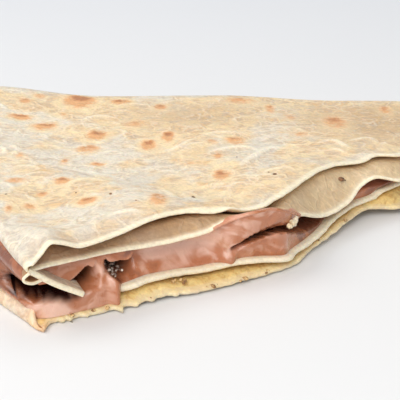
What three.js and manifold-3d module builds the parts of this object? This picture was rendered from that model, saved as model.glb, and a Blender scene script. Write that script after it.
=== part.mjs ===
// A thin round crepe, filled with chocolate spread and folded into a quarter.
// The sheet starts as a flat round disc and is folded by a formula: four layers lie on each other,
// joined along the left side, along the back and at the point where all the folds meet.
// The spread lies in the pocket between the second and the third layer.
// Millimetres, +Z up. The origin is at the middle of the folded crepe's box, on the table.
import * as THREE from "three";
import { mergeVertices } from "three/addons/utils/BufferGeometryUtils.js";
import Module from "manifold-3d";

const wasm = await Module();
wasm.setup();

// ---------------------------------------------------------------- driving dimensions
const SHEET = 1.6; // thickness of the baked sheet
const LIE = 2.2; // least distance between the middles of two sheets lying on each other
const CLEAR = 0.6; // gap between the sheet and the spread
const LEAST_GAP = 0.3; // and the least that is left where either of them is bent sharply
const RADIUS = 165; // nominal radius of the crepe

const POINT = { x: -89.73, y: 76.89, z: 6.5 }; // where all the folds meet
const POINT_SIZE = 13; // the sheets are pressed into one lump within this distance of it

// Bearings are degrees at the point, 0 towards +X and -90 towards -Y.
const LEFT_SIDE = -68.3; // line of the fold between the top and the upper sheet
const LOWER_LEFT_SIDE = -67.4; // the same between the lower and the bottom sheet, at the rim
const LOWER_LEFT_SPREAD = 6; // how far that one swings out on its way to the point
const LOWER_LEFT_TUCK = 0.7; // and how far it swings back in at the rim
const BACK_SIDE = -1.5; // line of the two back folds
const BACK_ROUNDING = 2.3; // the flat of the sheets ends this far in front of that line
const FOLD_FULLNESS = 0.85; // depth of a fold against half its height

// The rim of each layer, from the left side to the back: bearing, distance from the point,
// height of the middle of the sheet, and how far inwards the sheet takes to settle.
const BOTTOM = [
  [-76, 150, 0.8, 12],
  [-67.9, 167.6, 0.8, 12],
  [-66.6, 164.1, 0.8, 12],
  [-63.4, 163.7, 0.8, 12],
  [-56.6, 165.3, 0.8, 12],
  [-49.0, 169.6, 0.8, 12],
  [-43.2, 171.3, 0.8, 12],
  [-39.6, 169.8, 1.3, 12],
  [-32.2, 169.2, 2.8, 12],
  [-28.9, 170.2, 2.8, 12],
  [-26.4, 178.6, 2.0, 12],
  [-20, 180, 1.0, 12],
  [-1, 179, 0.8, 12],
];
const LOWER = [
  [-76, 160, 3.0, 14],
  [-68.6, 161.8, 3.0, 14],
  [-67.9, 161.2, 3.0, 14],
  [-67.2, 160.0, 3.2, 14],
  [-66.4, 159.0, 3.6, 14],
  [-61.4, 158.0, 4.4, 14],
  [-60.2, 162.6, 5.2, 14],
  [-57.1, 162.9, 5.8, 14],
  [-50.4, 163.4, 5.8, 14],
  [-46.0, 168.7, 5.2, 14],
  [-44.2, 172.5, 4.2, 14],
  [-42.7, 170.9, 4.2, 14],
  [-39.3, 169.2, 4.6, 14],
  [-31.2, 168.3, 5.8, 14],
  [-23.8, 175.7, 6.4, 14],
  [-12, 176.5, 5.2, 14],
  [-1, 176, 4.4, 14],
];
const UPPER = [
  [-70, 166.7, 16.1, 14],
  [-68.2, 166.7, 16.1, 14],
  [-65.5, 164.4, 15.5, 14],
  [-61.6, 161.6, 14.5, 20],
  [-56.9, 162.4, 14.0, 20],
  [-52.2, 164.9, 14.8, 14],
  [-49.8, 166.1, 16.5, 7],
  [-48.1, 170.1, 18.8, 4.5],
  [-46.0, 171.6, 18.8, 4.5],
  [-44.8, 171.9, 17.5, 5],
  [-41.2, 169.5, 12.5, 14],
  [-37.3, 168.9, 8.2, 14],
  [-33.4, 169.8, 8.1, 12],
  [-30.2, 169.9, 11.0, 8],
  [-28.6, 172.4, 12.5, 8],
  [-26.8, 178.2, 10.6, 10],
  [-22, 178.5, 9.8, 14],
  [-1, 177, 8.7, 14],
];
const TOP = [
  [-70, 170.6, 18.4, 14],
  [-68.7, 170.6, 18.4, 14],
  [-67.4, 167.0, 19.5, 13],
  [-66.1, 166.0, 22.0, 12],
  [-63.9, 165.3, 18.8, 14],
  [-59.7, 161.9, 19.0, 25],
  [-55.8, 160.1, 20.0, 30],
  [-52.7, 160.4, 19.5, 30],
  [-49.3, 164.5, 18.2, 25],
  [-45.9, 166.5, 17.6, 20],
  [-43.3, 165.8, 17.8, 20],
  [-35.9, 162.2, 17.8, 20],
  [-31.6, 162.7, 17.0, 20],
  [-28.4, 167.4, 16.2, 20],
  [-26.2, 169.7, 16.5, 20],
  [-24.1, 175.4, 15.6, 20],
  [-14, 176.5, 13.6, 20],
  [-1, 176, 12.2, 20],
];

// Swells just inside a rim, which carry the rim of the sheet above: bearing, height, distance
// behind the rim and width.
const BOTTOM_SWELL = [
  [-62, 0, 3.7, 3.2],
  [-59, 2.8, 3.7, 3.2],
  [-52, 3.8, 3.9, 3.4],
  [-49, 3.8, 3.9, 3.4],
  [-46, 2.7, 3.7, 3.2],
  [-42.5, 1.4, 3.7, 3.2],
  [-39, 0, 3.7, 3.2],
  [-32, 0, 3.7, 3.2],
  [-29.5, 1.2, 3.6, 3],
  [-26.4, 3.0, 5.2, 3.6],
  [-21, 3.2, 4.8, 3.6],
  [-12, 2.4, 4.2, 3.2],
  [-3, 0, 4, 3],
];
const UPPER_SWELL = [
  [-68.4, 0, 5, 3],
  [-66.5, 3.2, 5.5, 3.2],
  [-64, 2.2, 5, 3],
  [-59.7, 2.9, 4.6, 3],
  [-55.8, 3.4, 4.6, 3],
  [-52.7, 3.0, 5, 3.2],
  [-50.5, 1.2, 5, 3],
  [-49, 0, 5, 3],
  [-43.5, 0, 5, 3],
  [-41.2, 3.2, 5.2, 3.2],
  [-39, 5.3, 6.4, 4],
  [-37.3, 5.7, 6.8, 4.4],
  [-33.4, 5.2, 7.6, 5],
  [-30.2, 2.8, 6, 3.5],
  [-28.6, 1.4, 5.5, 3.5],
  [-26.8, 2.4, 8, 5],
  [-24.1, 2.8, 4.6, 3],
  [-14, 1.8, 4, 3],
  [-4, 0, 4, 3],
];
const SWELL_FALL = 14; // they fall away this slowly further in

// The edge of the spread: bearing, how far it stays back from the upper sheet's rim and from the
// lower sheet's (negative where it has run over that rim), how deep it is hollowed between, and
// the levels, from floor to roof, where the hollow starts and ends.
const SPREAD_EDGE = [
  [-76, 8, 4, 2, 0.1, 1],
  [-69.3, 6, 3.5, 1, 0.2, 0.7],
  [-68.9, 6, 2.6, 5, 0.26, 0.64],
  [-68.5, 6, 1.0, 22, 0.28, 0.62],
  [-67.9, 5.6, -0.6, 32, 0.27, 0.62],
  [-67.2, 5, -2.0, 34, 0.25, 0.62],
  [-66.5, 4.4, -3.3, 34, 0.24, 0.62],
  [-65.4, 3.8, -4.2, 28, 0.24, 0.62],
  [-64.4, 3.4, -4.5, 20, 0.24, 0.66],
  [-63.4, 2.6, -4.5, 15, 0.22, 0.8],
  [-62.7, 1.8, -4.5, 13, 0.2, 0.95],
  [-62.1, 1.4, -4.4, 4, 0.14, 0.9],
  [-61.5, 1.2, -4.2, 0.6, 0.1, 0.9],
  [-60.8, 1.2, -3.6, 1, 0.1, 0.95],
  [-60.2, 1.4, -1.6, 6, 0.06, 0.95],
  [-59.5, 1.4, 1.3, 10, 0, 0.95],
  [-58.9, 1.2, 1.4, 8, 0, 1],
  [-58.1, 1.1, 1.4, 4, 0, 1],
  [-57.2, 1.0, 1.4, 3.2, 0, 1],
  [-53, 1.0, 1.4, 3.8, 0, 1],
  [-50.5, 1.0, 1.4, 3.2, 0, 0.9],
  [-49.4, 0.8, 0.8, 1.8, 0, 0.85],
  [-48.7, 0.5, -0.9, 2.5, 0.06, 0.6],
  [-48.1, 0.3, 0.2, 9, 0.2, 0.56],
  [-47.4, 0.2, 1.0, 18, 0.38, 0.68],
  [-46.7, 0.1, 1.1, 22, 0.48, 0.76],
  [-46.0, 0.1, 1.2, 25, 0.52, 0.78],
  [-45.0, 0, 1.2, 27, 0.53, 0.8],
  [-43.5, 0, 1.2, 28, 0.48, 0.79],
  [-42.2, 0, 1.2, 30, 0.46, 0.8],
  [-41.2, 0.4, 1.2, 32, 0.36, 0.9],
  [-40, 0.8, 1.2, 30, 0.26, 0.99],
  [-38, 1.2, 1.3, 22, 0.18, 1],
  [-36, 1.8, 1.6, 14, 0.14, 1],
  [-34.3, 3, 3, 3, 0.1, 1],
  [-33, 4, 4, 1, 0, 1],
  [-31, 2, 2, 3, 0.1, 1],
  [-29, 1.4, 0.8, 4, 0.4, 1],
  [-26, 1.4, 0.8, 4, 0.4, 1],
  [-23, 2, 1.5, 3, 0.3, 1],
  [-15, 3, 3, 3, 0.1, 1],
  [-1, 4, 4, 2, 0.1, 1],
];
// How far it swells out of the left side, by level: one lump lies on another.
const LEFT_SWELL = [
  [0, 1.0],
  [0.12, 2.8],
  [0.3, 4.0],
  [0.46, 3.2],
  [0.55, 1.4],
  [0.64, 2.2],
  [0.8, 3.4],
  [0.93, 2.4],
  [1, 0.6],
];
const SPREAD_START = 30; // distance of its inner end from the point
const SPREAD_BACK_INSET = 2.5; // how far it stays from the back fold
const SPREAD_LEVELS = [0, 0.1, 0.22, 0.34, 0.46, 0.58, 0.7, 0.82, 0.92, 1]; // its front, upwards
const SPREAD_ROWS = [0, 0.12, 0.26, 0.42, 0.58, 0.72, 0.84, 0.93, 1]; // from its inner end to its lip
const SPREAD_LIP = 3; // width of the lip at its front edge

// The pleat hanging from the left tip, and the small lip curled under it: bearing, distance and
// height along the rim and along the inner edge of each.
const PLEAT_RIM = [
  [-68.5, 168.2, 16.4],
  [-66.3, 167.2, 11.4],
  [-63.9, 167.0, 7.2],
];
const PLEAT_INNER = [
  [-68.2, 163.0, 15.6],
  [-65.9, 161.0, 11.0],
  [-63.8, 160.0, 7.6],
];
const PLEAT_THICKNESS = 1.4;
const LIP_RIM = [
  [-68.4, 168.6, 16.0],
  [-69.05, 169.0, 14.7],
  [-68.9, 169.0, 13.3],
  [-68.0, 168.4, 12.3],
  [-67.3, 167.6, 12.6],
];
const LIP_INNER = [
  [-68.3, 164.5, 15.8],
  [-68.6, 164.5, 14.6],
  [-68.5, 164.0, 13.0],
  [-67.9, 163.4, 12.2],
  [-67.3, 163.0, 12.4],
];
const LIP_THICKNESS = 0.9;

// Columns round the disc for each stretch, and rings from the point to the rim.
const SIDE_COLUMNS = 6;
const SHEET_COLUMNS = 38;
const BACK_COLUMNS = 8;
const COLUMNS = 2 * SIDE_COLUMNS + 4 * SHEET_COLUMNS + 2 * BACK_COLUMNS;
const OUTER_RINGS = [0.14, 0.24, 0.38, 0.53, 0.66, 0.76, 0.84, 0.9, 0.94, 0.967, 0.985];
const INNER_RINGS = [0.14, 0.38, 0.66, 0.84, 0.94, 0.967, 0.985];
const RIM_ROUNDING = 0.003; // the rim bulges out by half a millimetre
const JOIN = POINT_SIZE / RADIUS;

// ---------------------------------------------------------------- helpers
const radians = THREE.MathUtils.degToRad;
const mix = THREE.MathUtils.lerp;
const clamp = THREE.MathUtils.clamp;
const ease = (from, to, x) => THREE.MathUtils.smoothstep(x, from, to);
const highest = (a, b) => (a + b + Math.hypot(a - b, 0.3)) / 2;

// A smooth curve through the rows of a table, read at x.
function read(rows, x) {
  const last = rows.length - 1;
  if (x <= rows[0][0]) return rows[0];
  if (x >= rows[last][0]) return rows[last];
  const i = rows.findIndex((row) => row[0] > x) - 1;
  const [a, b] = [rows[i], rows[i + 1]];
  const before = rows[Math.max(0, i - 1)];
  const after = rows[Math.min(last, i + 2)];
  const s = (x - a[0]) / (b[0] - a[0]);
  return a.map((value, k) => {
    const slopeA = ((b[k] - before[k]) / (b[0] - before[0])) * (b[0] - a[0]);
    const slopeB = ((after[k] - value) / (after[0] - a[0])) * (b[0] - a[0]);
    const s2 = s * s;
    const s3 = s2 * s;
    return (2 * s3 - 3 * s2 + 1) * value + (s3 - 2 * s2 + s) * slopeA
      + (3 * s2 - 2 * s3) * b[k] + (s3 - s2) * slopeB;
  });
}

function polar(bearing, distance, height) {
  const angle = radians(bearing);
  return new THREE.Vector3(
    POINT.x + distance * Math.cos(angle),
    POINT.y + distance * Math.sin(angle),
    height,
  );
}

// ---------------------------------------------------------------- how the layers lie
const leftSide = () => LEFT_SIDE;
const lowerLeftSide = (r) => LOWER_LEFT_SIDE
  - LOWER_LEFT_SPREAD * Math.sqrt(Math.max(0, 1 - r / 168) + 0.003)
  + LOWER_LEFT_TUCK * ease(146, 161, r);
const backSide = (r) => BACK_SIDE - THREE.MathUtils.radToDeg(BACK_ROUNDING / Math.max(r, POINT_SIZE));

// A layer settles from its rim height to its bed, the height it has inside the stack.
function settle(rows, bed, bearing, r) {
  const [, reach, height, length] = read(rows, bearing);
  const inwards = Math.max(0, reach - r) / length;
  return bed + (height - bed) * Math.exp(-Math.pow(inwards, 1.5));
}

// What a swell adds: it rises steeply from the rim and falls away slowly further in.
function swollen(swells, rows, bearing, r) {
  const [, height, place, width] = read(swells, bearing);
  const inwards = read(rows, bearing)[1] - r - place;
  return height * Math.exp(-Math.pow(inwards / (inwards > 0 ? SWELL_FALL : width), 2));
}

// The heights of the middles of the four sheets at one place, from the bottom one up.
function heights(bearing, r) {
  const out = clamp(r / RADIUS, 0, 1);
  const fromLeft = r * Math.sin(radians(Math.max(0, bearing - LEFT_SIDE)));
  const bunched = 3.1 * Math.exp(-Math.pow((r - 28) / 24, 2));
  const gape = 3 + 3 * out - 3 * ease(108, 150, r) * ease(-24, -4, bearing);
  const sway = 0.4 * out * Math.sin(r / 10 + bearing / 8) * Math.sin(bearing / 4.5 + 1);
  const bottom = settle(BOTTOM, SHEET / 2, bearing, r) + swollen(BOTTOM_SWELL, BOTTOM, bearing, r);
  const lowerBed = 3 + 1.2 * out;
  const lower = highest(settle(LOWER, lowerBed, bearing, r), bottom + LIE);
  const upperBed = lowerBed + LIE + gape + 2.4 * Math.exp(-fromLeft / 15) + bunched + sway / 2;
  const upperLies = settle(UPPER, upperBed, bearing, r) + swollen(UPPER_SWELL, UPPER, bearing, r);
  const upper = highest(upperLies, lower + LIE);
  const topBed = upperBed + 3 + 0.4 * bunched + sway;
  const top = highest(settle(TOP, topBed, bearing, r), upper + LIE);
  return { bottom, lower, upper, top };
}

const LAYERS = {
  bottom: { rows: BOTTOM, left: lowerLeftSide },
  lower: { rows: LOWER, left: lowerLeftSide },
  upper: { rows: UPPER, left: leftSide },
  top: { rows: TOP, left: leftSide },
};

// More columns go where the rim is most broken up, near the left tip and the middle.
function columnShare(s) {
  if (s < 0.2) return s * 0.485;
  if (s < 0.8) return 0.097 + (s - 0.2) * 0.96;
  return 0.673 + (s - 0.8) * 1.635;
}

// A point of one layer: s runs from the left side to the back, t from the point to the rim.
function onLayer(name, s, t) {
  const { rows, left } = LAYERS[name];
  const near = t * RADIUS;
  const bearing = mix(left(near), backSide(near), columnShare(s));
  const r = t * read(rows, bearing)[1];
  return { bearing, r, height: heights(bearing, r)[name] };
}

// A point on the round of a fold that joins two layers: turn runs from 0 at one to 1 at the other.
function onFold(from, to, s, t, turn) {
  const a = onLayer(from, s, t);
  const b = onLayer(to, s, t);
  const bearing = mix(a.bearing, b.bearing, turn);
  const half = (a.height - b.height) / 2;
  const place = polar(bearing, mix(a.r, b.r, turn), b.height + half + half * Math.cos(Math.PI * turn));
  const out = FOLD_FULLNESS * Math.abs(half) * Math.sin(Math.PI * turn) * (s ? 1 : -1);
  place.x -= out * Math.sin(radians(bearing));
  place.y += out * Math.cos(radians(bearing));
  return place;
}

function onSheet(name, s, t) {
  const { bearing, r, height } = onLayer(name, s, t);
  return polar(bearing, r, height);
}

// The middle of the folded sheet. The columns go round the disc: half a side fold, the top layer,
// the outer back fold, the bottom layer, the lower side fold, the lower layer, the inner back fold,
// the upper layer and the other half of the side fold.
function middle(column, t) {
  let c = ((column % COLUMNS) + COLUMNS) % COLUMNS;
  const stretches = [
    [SIDE_COLUMNS / 2, (k) => onFold("upper", "top", 0, t, 0.5 + k / 2)],
    [SHEET_COLUMNS, (k) => onSheet("top", k, t)],
    [BACK_COLUMNS, (k) => onFold("top", "bottom", 1, t, k)],
    [SHEET_COLUMNS, (k) => onSheet("bottom", 1 - k, t)],
    [SIDE_COLUMNS, (k) => onFold("bottom", "lower", 0, t, k)],
    [SHEET_COLUMNS, (k) => onSheet("lower", k, t)],
    [BACK_COLUMNS, (k) => onFold("lower", "upper", 1, t, k)],
    [SHEET_COLUMNS, (k) => onSheet("upper", 1 - k, t)],
    [SIDE_COLUMNS / 2, (k) => onFold("upper", "top", 0, t, k / 2)],
  ];
  for (const [count, at] of stretches) {
    if (c <= count) return at(c / count);
    c -= count;
  }
  return onFold("upper", "top", 0, t, 0.5);
}

// A point of the sheet, off its middle by so much: above it as it lay on the griddle, or below.
function onFace(column, t, off) {
  const here = middle(column, t);
  const along = middle(column + 0.02, t).sub(middle(column - 0.02, t));
  const outwards = middle(column, t).sub(middle(column, t - 0.002));
  const normal = outwards.cross(along).normalize();
  here.addScaledVector(normal, off);
  here.z = Math.max(0, here.z);
  return here;
}

// Round the point the outer face closes in a dome and the inner face is pressed together: there each
// side meets the other halfway.
function foldedPoint(column, t, off) {
  if (t > 0.9 * JOIN) return onFace(column, Math.max(t, JOIN), off);
  const edge = onFace(column, JOIN, off);
  if (off < 0) return edge.lerp(onFace(COLUMNS - column, JOIN, off), 0.5);
  const share = t / JOIN;
  return new THREE.Vector3(
    mix(POINT.x, edge.x, share),
    mix(POINT.y, edge.y, share),
    mix(POINT.z, edge.z, Math.sin((Math.PI / 2) * share)),
  );
}

// ---------------------------------------------------------------- solids
function bodyOf(geometry) {
  geometry.deleteAttribute("normal");
  geometry.deleteAttribute("uv");
  const merged = mergeVertices(geometry, 1e-3);
  const index = merged.index.array;
  const faces = [];
  for (let i = 0; i < index.length; i += 3) {
    const [a, b, c] = [index[i], index[i + 1], index[i + 2]];
    if (a !== b && b !== c && c !== a) faces.push(a, b, c);
  }
  const mesh = new wasm.Mesh({
    numProp: 3,
    vertProperties: merged.attributes.position.array,
    triVerts: new Uint32Array(faces),
  });
  return new wasm.Manifold(mesh);
}

function meshOf(name, body, material) {
  const { numProp, numVert, vertProperties, triVerts } = body.getMesh();
  const positions = new Float32Array(numVert * 3);
  for (let i = 0; i < numVert; i++) {
    positions.set(vertProperties.subarray(i * numProp, i * numProp + 3), i * 3);
  }
  const geometry = new THREE.BufferGeometry();
  geometry.setAttribute("position", new THREE.BufferAttribute(positions, 3));
  geometry.setIndex(new THREE.BufferAttribute(triVerts, 1));
  geometry.computeVertexNormals();
  const mesh = new THREE.Mesh(geometry, material);
  mesh.name = name;
  return mesh;
}

function moveEach(geometry, move) {
  const position = geometry.attributes.position;
  const v = new THREE.Vector3();
  for (let i = 0; i < position.count; i++) {
    v.fromBufferAttribute(position, i);
    const to = move(v);
    position.setXYZ(i, to.x, to.y, to.z);
  }
  return geometry;
}

// The flat disc, turned from a profile that closes round its rim, then folded. Its upper face,
// the one that meets the spread, and its rim can be grown by a margin.
function foldedSheet(margin) {
  const above = SHEET / 2 + margin;
  const below = -SHEET / 2;
  const rim = 1 + margin / RADIUS;
  const profile = [[JOIN / 2, below], [JOIN, below]];
  INNER_RINGS.forEach((t) => profile.push([t, below]));
  profile.push([rim, below], [rim + RIM_ROUNDING, 0], [rim, above]);
  OUTER_RINGS.slice().reverse().forEach((t) => profile.push([t, above]));
  profile.push([JOIN, above], [JOIN / 2, above], [0, above]);
  const disc = new THREE.LatheGeometry(profile.map(([t, off]) => new THREE.Vector2(t, off)), COLUMNS);
  return bodyOf(moveEach(disc, (v) => {
    const column = (Math.atan2(v.x, v.z) / (2 * Math.PI)) * COLUMNS;
    return foldedPoint((column + COLUMNS) % COLUMNS, Math.hypot(v.x, v.z), v.y);
  }));
}

// A thin plate between its rim and its inner edge, bent by the two curves, grown by a margin.
function strip(rim, inner, thickness, margin) {
  const plate = new THREE.BoxGeometry(1, 1, 1, 8, 3, 1);
  const onEdge = (x) => (Math.abs(x) > 0.49 ? Math.sign(x) * margin : 0);
  const curves = [rim, inner].map(
    (rows) => new THREE.CatmullRomCurve3(rows.map(([b, r, z]) => polar(b, r, z))),
  );
  return bodyOf(moveEach(plate, (v) => {
    const [from, to] = curves.map((curve) => curve.getPoint(clamp(v.x + 0.5, 0, 1)));
    const across = to.clone().sub(from).normalize();
    const along = curves[0].getTangent(clamp(v.x + 0.5, 0, 1));
    const normal = new THREE.Vector3().crossVectors(along, across).normalize();
    return from.lerp(to, v.y + 0.5)
      .addScaledVector(across, onEdge(v.y))
      .addScaledVector(along, onEdge(v.x))
      .addScaledVector(normal, v.z * (thickness + 2 * margin));
  }));
}

const pleat = (margin) => strip(PLEAT_RIM, PLEAT_INNER, PLEAT_THICKNESS, margin);
const curledLip = (margin) => strip(LIP_RIM, LIP_INNER, LIP_THICKNESS, margin);

// The top and the underside of the pocket that the spread fills, clear of the sheets.
// Where it spills over the lower sheet's rim, the underside is the bottom sheet's.
function pocket(bearing, r, spill) {
  const inside = Math.max(bearing, LEFT_SIDE);
  const step = 0.5;
  const here = heights(inside, r);
  const next = heights(inside, r + step);
  const off = SHEET / 2 + CLEAR;
  const steep = (name) => Math.hypot(1, (next[name] - here[name]) / step);
  const below = heights(bearing, r);
  const floor = mix(below.lower, below.bottom, spill) + off;
  return { floor, roof: here.upper - off * steep("upper") };
}

// The spread: a block whose top and underside follow the sheets and whose front is hollowed,
// then trimmed where it would come too near the sheet.
function spreadBody() {
  const levels = SPREAD_LEVELS.length - 1;
  const rows = SPREAD_ROWS.length;
  const block = new THREE.BoxGeometry(1, 1, 1, 50, rows, levels);
  const poured = bodyOf(moveEach(block, (v) => {
    const floorToRoof = Math.round((v.z + 0.5) * levels);
    const level = SPREAD_LEVELS[floorToRoof];
    const out = 0.5 - v.y;
    const row = Math.round(out * rows);
    const near = mix(SPREAD_START, RADIUS - 4, out);
    const inset = THREE.MathUtils.radToDeg(SPREAD_BACK_INSET / near);
    const atTip = ease(148, 162, near);
    const swell = THREE.MathUtils.radToDeg(read(LEFT_SWELL, level)[1] * (1 - 0.7 * atTip) / near);
    const low = lowerLeftSide(near) + THREE.MathUtils.radToDeg((1 + 1.4 * atTip) / near);
    const high = LEFT_SIDE + THREE.MathUtils.radToDeg(1 / near);
    const left = mix(low, high, ease(0, 1, level)) - swell;
    const bearing = mix(left, backSide(near) - inset, columnShare(v.x + 0.5));
    const [, upperBack, lowerBack, depth, start, end] = read(SPREAD_EDGE, bearing);
    const across = clamp((level - start) / (end - start), 0, 1);
    const hollow = Math.max(0, depth) * Math.pow(Math.sin(Math.PI * across), 1.3);
    const upperEdge = read(UPPER, bearing)[1] - upperBack;
    const lowerRim = read(LOWER, bearing)[1];
    const front = mix(lowerRim - lowerBack, upperEdge, level) - hollow;
    const r = row === rows ? front : mix(SPREAD_START, front - SPREAD_LIP, SPREAD_ROWS[row]);
    const atLip = level === 0 && row === rows;
    const spill = atLip ? ease(lowerRim + 2.4, lowerRim + 3.4, front) : 0;
    const { floor, roof } = pocket(bearing, r, spill);
    return polar(bearing, r, mix(floor, Math.max(roof, floor + 0.3), level));
  }));
  const pieces = poured
    .subtract(foldedSheet(LEAST_GAP))
    .subtract(pleat(LEAST_GAP))
    .subtract(curledLip(LEAST_GAP))
    .decompose();
  return pieces.sort((a, b) => b.volume() - a.volume())[0];
}

// ---------------------------------------------------------------- the crepe
const bakedBatter = new THREE.MeshStandardMaterial({ color: 0xecdcc0, roughness: 0.75, metalness: 0 });
const chocolate = new THREE.MeshStandardMaterial({ color: 0x9a6044, roughness: 0.3, metalness: 0 });

const foldedCrepe = new THREE.Group();
foldedCrepe.add(meshOf("crepe_sheet", foldedSheet(0).add(pleat(0)).add(curledLip(0)), bakedBatter));
foldedCrepe.add(meshOf("chocolate_spread", spreadBody(), chocolate));

export default foldedCrepe;
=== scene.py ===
import math
import bmesh
import bpy
import numpy as np
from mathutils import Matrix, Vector, noise


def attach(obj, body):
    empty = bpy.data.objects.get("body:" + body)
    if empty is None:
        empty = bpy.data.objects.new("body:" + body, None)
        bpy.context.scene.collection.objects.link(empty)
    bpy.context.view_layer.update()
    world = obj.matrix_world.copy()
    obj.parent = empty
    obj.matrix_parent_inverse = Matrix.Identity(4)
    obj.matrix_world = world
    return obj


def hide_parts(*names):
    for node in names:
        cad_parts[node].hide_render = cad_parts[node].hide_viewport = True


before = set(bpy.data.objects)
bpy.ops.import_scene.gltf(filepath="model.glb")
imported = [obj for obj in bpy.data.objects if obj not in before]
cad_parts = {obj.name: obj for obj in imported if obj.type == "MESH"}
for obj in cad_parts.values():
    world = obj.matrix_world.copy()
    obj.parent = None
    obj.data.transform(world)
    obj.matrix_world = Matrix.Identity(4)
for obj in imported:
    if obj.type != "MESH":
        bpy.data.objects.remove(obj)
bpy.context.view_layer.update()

# ------------------------------ the view
# A long lens from the front, 21 degrees above the table, close enough for the folded crepe to
# fill the frame from side to side.
MM = 0.001


def add_object(name, data):
    thing = bpy.data.objects.new(name, data)
    bpy.context.scene.collection.objects.link(thing)
    return thing


look_at = Vector((11.27, 8.89, 0.0)) * MM
looking_down = math.radians(21)
camera_distance = 363.64 * MM
towards_camera = Vector((0, -math.cos(looking_down), math.sin(looking_down)))
camera_data = bpy.data.cameras.new("camera")
camera_data.sensor_width = 36
camera_data.lens = 108
camera_data.clip_start = 10 * MM
camera = add_object("camera", camera_data)
camera.location = look_at + towards_camera * camera_distance
camera.rotation_euler = towards_camera.to_track_quat("Z", "Y").to_euler()
bpy.context.scene.camera = camera
bpy.context.scene.view_settings.view_transform = "Standard"


# ------------------------------ the table and the light
# A matt white table in a white room that fills the shadows, with a soft lamp at the left, a weaker
# one above and behind, and a reflector in front.
def node(tree, kind, inputs=(), **settings):
    """Adds a shader node, with its inputs set to values or linked to sockets."""
    made = tree.nodes.new("ShaderNode" + kind)
    for name, value in settings.items():
        setattr(made, name, value)
    for socket, value in dict(inputs).items():
        if isinstance(value, bpy.types.NodeSocket):
            tree.links.new(value, made.inputs[socket])
        else:
            made.inputs[socket].default_value = value
    return made


def material_named(name):
    """A new material, its node tree, its surface and the place in metres on a piece."""
    material = bpy.data.materials.new(name)
    material.use_nodes = True
    tree = material.node_tree
    tree.nodes.clear()
    surface = node(tree, "BsdfPrincipled")
    node(tree, "OutputMaterial", {"Surface": surface.outputs["BSDF"]})
    return material, tree, surface, node(tree, "TexCoord").outputs["Object"]


def blend(tree, amount, first, second, mode="MIX"):
    """Mixes two colours or sockets by an amount or a socket."""
    mixed = node(tree, "Mix", {0: amount, 6: first, 7: second}, data_type="RGBA", blend_type=mode)
    return mixed.outputs[2]


def finish_object(mesh, name):
    """Turns a mesh in the making into an object of the scene."""
    data = bpy.data.meshes.new(name)
    mesh.to_mesh(data)
    mesh.free()
    return add_object(name, data)


TABLE_NEAR = (0.80, 0.798, 0.80, 1)
TABLE_FAR = (0.86, 0.89, 0.95, 1)
FAR_AWAY = 0.7  # metres behind the crepe
TABLE_HALF_WIDTH = 3.0

table_white, tree, surface, where = material_named("table_white")
# The table's colour grows lighter and bluer towards the back: painted light, for the cool light on
# the far table.
backwards = node(tree, "SeparateXYZ", {0: where}).outputs["Y"]
far = node(tree, "MapRange", {"Value": backwards, "From Max": FAR_AWAY}).outputs["Result"]
tree.links.new(blend(tree, far, TABLE_NEAR, TABLE_FAR), surface.inputs["Base Color"])
surface.inputs["Roughness"].default_value = 0.85
table_mesh = bmesh.new()
bmesh.ops.create_grid(table_mesh, x_segments=4, y_segments=4, size=TABLE_HALF_WIDTH)
table = finish_object(table_mesh, "table")
table.data.materials.append(table_white)

world = bpy.data.worlds.new("white_room")
world.use_nodes = True
background = world.node_tree.nodes["Background"]
background.inputs["Color"].default_value = (0.97, 0.985, 1.0, 1)
background.inputs["Strength"].default_value = 0.44
bpy.context.scene.world = world


def soft_lamp(name, place, aim, width, power, colour):
    """A square lamp at a place in metres, turned to its aim, with its power in watts."""
    lamp = bpy.data.lights.new(name, "AREA")
    lamp.size = width
    lamp.energy = power
    lamp.color = colour
    thing = add_object(name, lamp)
    thing.location = place
    thing.rotation_euler = (Vector(place) - Vector(aim)).to_track_quat("Z", "Y").to_euler()


soft_lamp("window", (-0.6, -0.05, 0.8), (0, 0, 0), 0.6, 3.4, (1.0, 0.985, 0.96))
soft_lamp("overhead", (0.1, 0.4, 1.0), (0, 0.05, 0), 0.9, 2.1, (0.98, 0.99, 1.0))
soft_lamp("reflector", (-0.2, -0.8, 0.65), (0, 0, 0), 0.8, 7.2, (1.0, 0.99, 0.975))


# ------------------------------ the crepe
# One thin round sheet of baked batter, 33 cm across, folded in half and in half again. Here it is
# turned as a flat disc and then folded by the same formula as its solid, in millimetres.
SHEET = 1.6
LIE = 2.2
RADIUS = 165.0
POINT = np.array((-89.73, 76.89, 6.5))
POINT_SIZE = 13.0
LEFT_SIDE = -68.3
LOWER_LEFT_SIDE = -67.4
LOWER_LEFT_SPREAD = 6.0
LOWER_LEFT_TUCK = 0.7
BACK_SIDE = -1.5
BACK_ROUNDING = 2.3
FOLD_FULLNESS = 0.85

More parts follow.
